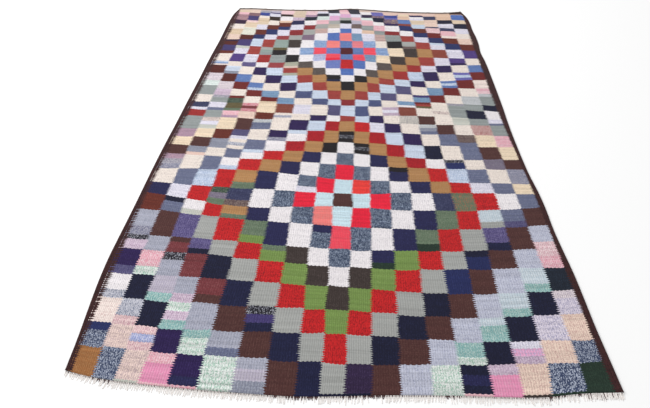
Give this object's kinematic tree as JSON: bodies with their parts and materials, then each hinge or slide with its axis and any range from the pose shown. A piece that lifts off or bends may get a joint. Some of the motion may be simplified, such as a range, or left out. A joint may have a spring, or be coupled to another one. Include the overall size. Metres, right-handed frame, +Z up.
{
  "type": "flat-woven kilim rug",
  "caption": "Flat-woven wool kilim of nested stepped diamonds in dovetailed checks, with dark side borders and short warp fringes, lying flat.",
  "frame": {"origin": "middle of the rug's own box, on the floor under it", "axes": "+X to the right across the rug as the near end is looked at, +Y along it from the near end to the far end, +Z up from the floor"},
  "size_m": [1.5582, 2.8394, 0.0062],
  "materials": {
    "wool_cloth": "matt hand-spun wool in a ribbed slit and dovetail tapestry weave",
    "warp_fringe": "matt off-white cotton warp ends"
  },
  "bodies": {
    "root": {"cloth": "wool_cloth", "fringe_near": "warp_fringe", "fringe_far": "warp_fringe"}
  },
  "joints": []
}
